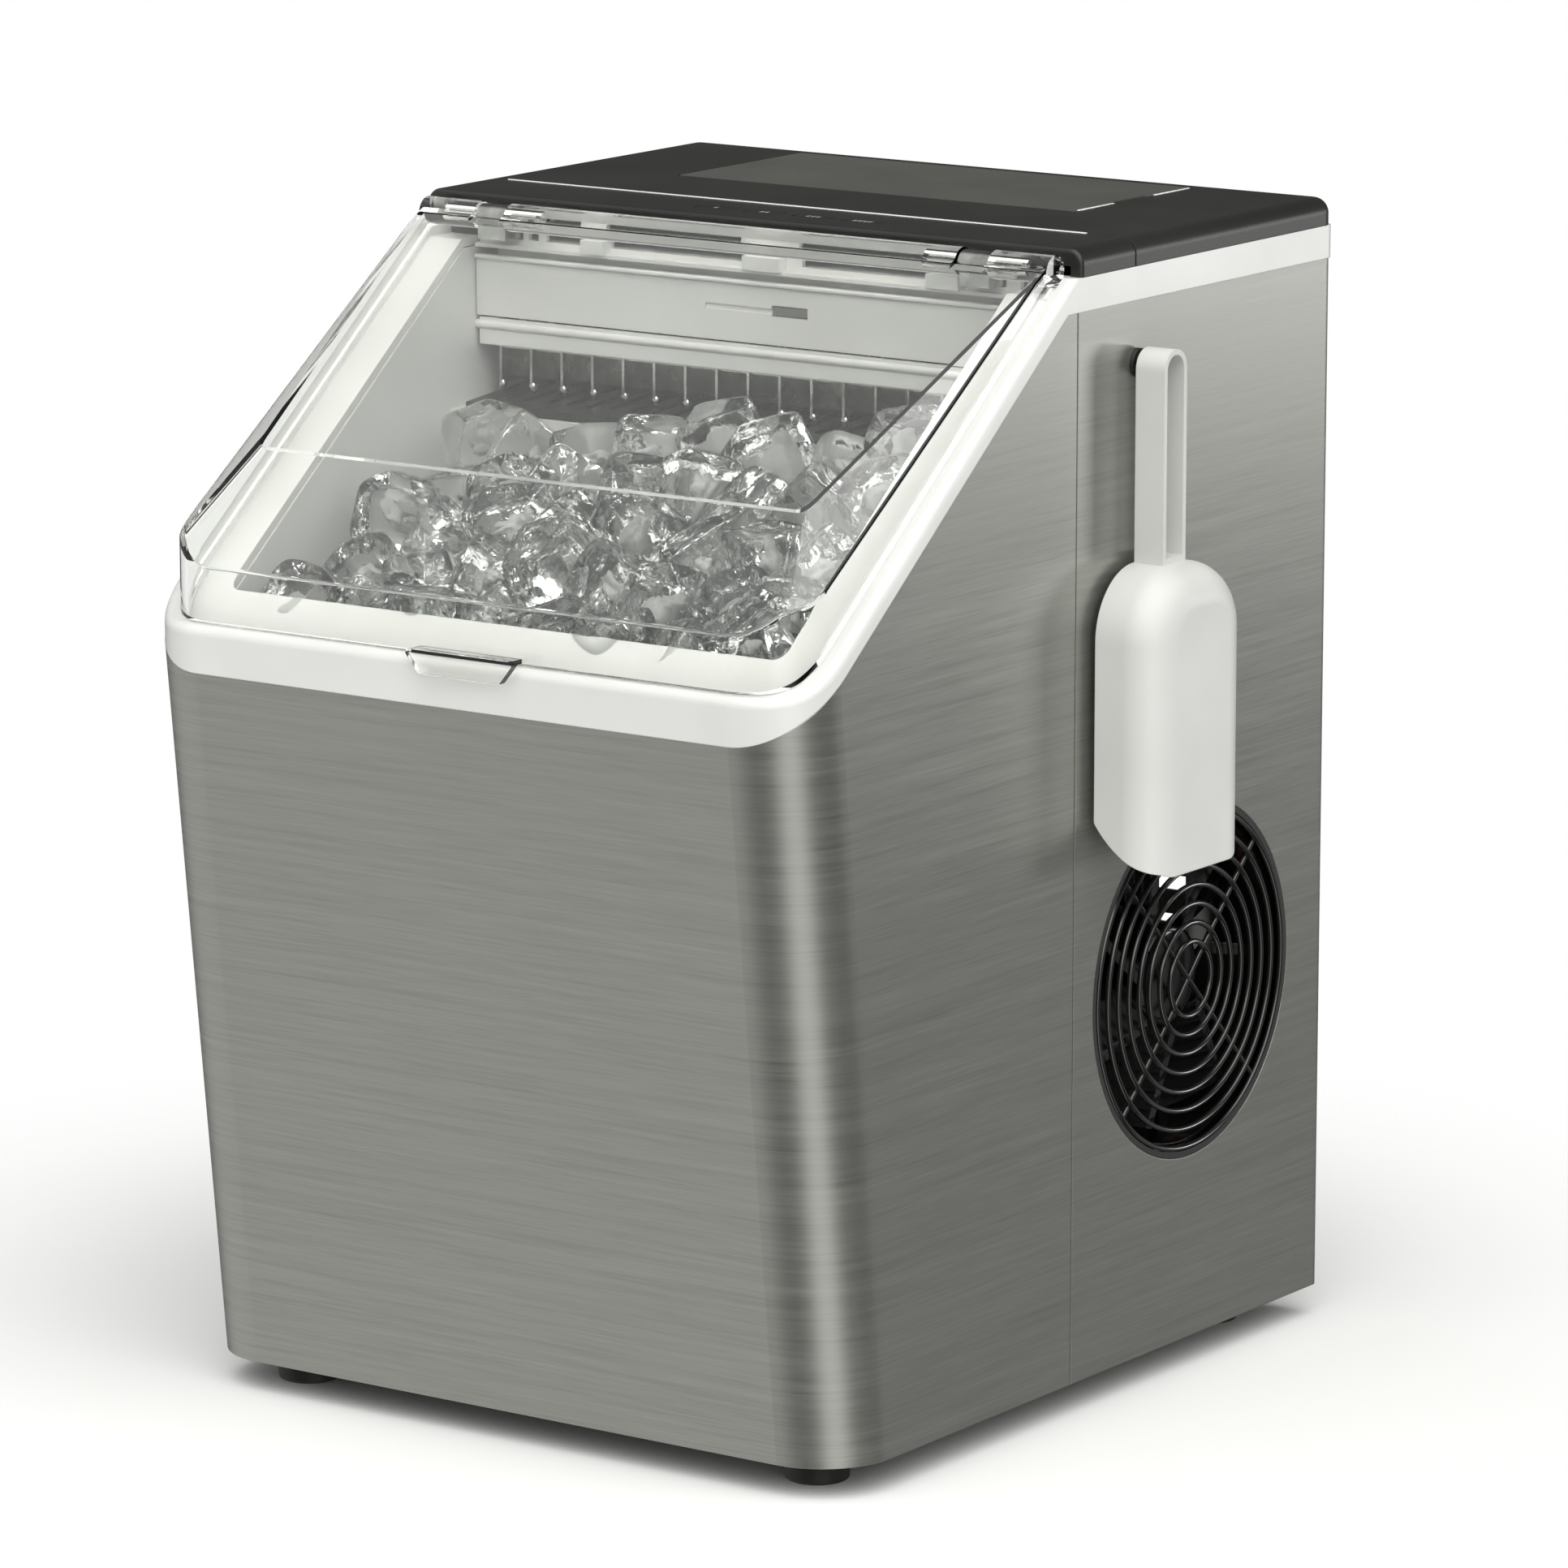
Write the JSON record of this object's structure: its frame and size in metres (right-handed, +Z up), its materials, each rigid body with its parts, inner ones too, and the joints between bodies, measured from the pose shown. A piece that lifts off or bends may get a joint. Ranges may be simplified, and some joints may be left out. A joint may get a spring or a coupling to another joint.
{
  "type": "ice maker",
  "caption": "Countertop ice maker with a sloping clear lid over an insulated ice bin, brushed casing, side fan grille and a hanging scoop.",
  "frame": {"origin": "centre of the whole outline in plan, casing and hanging scoop together, on the plane that the four feet stand on", "axes": "+X towards the side with the fan grille and scoop, +Y towards the back, +Z up"},
  "size_m": [0.275, 0.3063, 0.367],
  "materials": {
    "steel": "brushed",
    "white_abs": "semi gloss",
    "black_abs": "satin",
    "clear_lid": "clear",
    "smoked_cover": "smoked",
    "rubber": "matt",
    "zinc_screw": "plated",
    "foam": "foamed",
    "liner_white": "moulded",
    "basket_plastic": "moulded",
    "nickel_grid": "bright",
    "copper": "drawn",
    "sensor_black": "gloss",
    "hose": "satin",
    "compressor_black": "enamel",
    "fin_aluminium": "mill",
    "fan_black": "moulded",
    "grille_wire": "gloss black",
    "board_green": "solder mask",
    "scoop_white": "semi gloss",
    "key_black": "satin"
  },
  "bodies": {
    "cabinet": {"front_panel": "steel", "side_panel_right": "steel", "side_panel_left": "steel", "rear_panel": "steel", "panel_screws": "zinc_screw", "base_pan": "black_abs", "foot_front_left": "rubber", "foot_front_right": "rubber", "foot_rear_left": "rubber", "foot_rear_right": "rubber", "foot_screws": "zinc_screw", "top_housing": "white_abs", "control_panel": "black_abs", "top_cover": "black_abs", "bin_liner": "liner_white", "bin_insulation": "foam", "ice_basket": "basket_plastic", "hinge_bracket_left": "nickel_grid", "hinge_bracket_right": "nickel_grid", "hinge_pins": "zinc_screw", "evaporator_plate": "nickel_grid", "evaporator_coil": "copper", "evaporator_cover": "white_abs", "ice_sensor": "sensor_black", "water_distributor": "white_abs", "chamber_header": "white_abs", "ice_chute": "black_abs", "water_reservoir": "basket_plastic", "fill_funnel": "black_abs", "pump_body": "black_abs", "water_hose": "hose", "drain_hose": "hose", "drain_spout": "black_abs", "compressor": "compressor_black", "compressor_mounts": "rubber", "condenser_fins": "fin_aluminium", "condenser_pipe": "copper", "filter_drier": "copper", "discharge_pipe": "copper", "suction_pipe": "copper", "fan_shroud": "fan_black", "fan_motor": "compressor_black", "fan_grille": "grille_wire", "control_board": "board_green", "power_board": "board_green", "power_inlet": "black_abs", "scoop_hook": "black_abs"},
    "lid": {"lid": "clear_lid", "lid_tab": "clear_lid"},
    "fill_cover": {"fill_cover": "smoked_cover"},
    "fan": {"fan_rotor": "fan_black"},
    "impeller": {"pump_impeller": "white_abs"},
    "key_power": {"key_power": "key_black"},
    "key_size": {"key_size": "key_black"},
    "key_timer": {"key_timer": "key_black"},
    "key_clean": {"key_clean": "key_black"},
    "curtain": {"splash_curtain": "white_abs"},
    "drain_cap": {"drain_cap": "rubber"},
    "scoop": {"scoop": "scoop_white"}
  },
  "joints": [
    {"name": "lid_hinge", "type": "hinge", "parent": "cabinet", "child": "lid", "pos_m": [-0.0125, -0.0048, 0.3604], "axis": [-1, 0, 0], "range_deg": [0, 124]},
    {"name": "fill_cover_lift", "type": "slide", "parent": "cabinet", "child": "fill_cover", "axis": [0, 0, 1], "range_m": [0, 0.06]},
    {"name": "fan_spin", "type": "hinge", "parent": "cabinet", "child": "fan", "pos_m": [0.098, 0.069, 0.127], "axis": [1, 0, 0], "continuous": true},
    {"name": "impeller_spin", "type": "hinge", "parent": "cabinet", "child": "impeller", "pos_m": [0.0535, 0.062, 0.211], "axis": [0, 0, 1], "continuous": true},
    {"name": "key_power_press", "type": "slide", "parent": "cabinet", "child": "key_power", "axis": [0, 0, -1], "range_m": [0, 0.0008], "stiffness_N_per_m": 400, "springref_m": -0.0005},
    {"name": "key_size_press", "type": "slide", "parent": "cabinet", "child": "key_size", "axis": [0, 0, -1], "range_m": [0, 0.0008], "stiffness_N_per_m": 400, "springref_m": -0.0005},
    {"name": "key_timer_press", "type": "slide", "parent": "cabinet", "child": "key_timer", "axis": [0, 0, -1], "range_m": [0, 0.0008], "stiffness_N_per_m": 400, "springref_m": -0.0005},
    {"name": "key_clean_press", "type": "slide", "parent": "cabinet", "child": "key_clean", "axis": [0, 0, -1], "range_m": [0, 0.0008], "stiffness_N_per_m": 400, "springref_m": -0.0005},
    {"name": "curtain_swing", "type": "hinge", "parent": "cabinet", "child": "curtain", "pos_m": [-0.0125, 0.0003, 0.3238], "axis": [-1, 0, 0], "range_deg": [0, 50]},
    {"name": "drain_cap_pull", "type": "slide", "parent": "cabinet", "child": "drain_cap", "axis": [0, 1, 0], "range_m": [0, 0.03]},
    {"name": "scoop_lift_off", "type": "slide", "parent": "cabinet", "child": "scoop", "axis": [1, 0, 0], "range_m": [0, 0.06]}
  ]
}
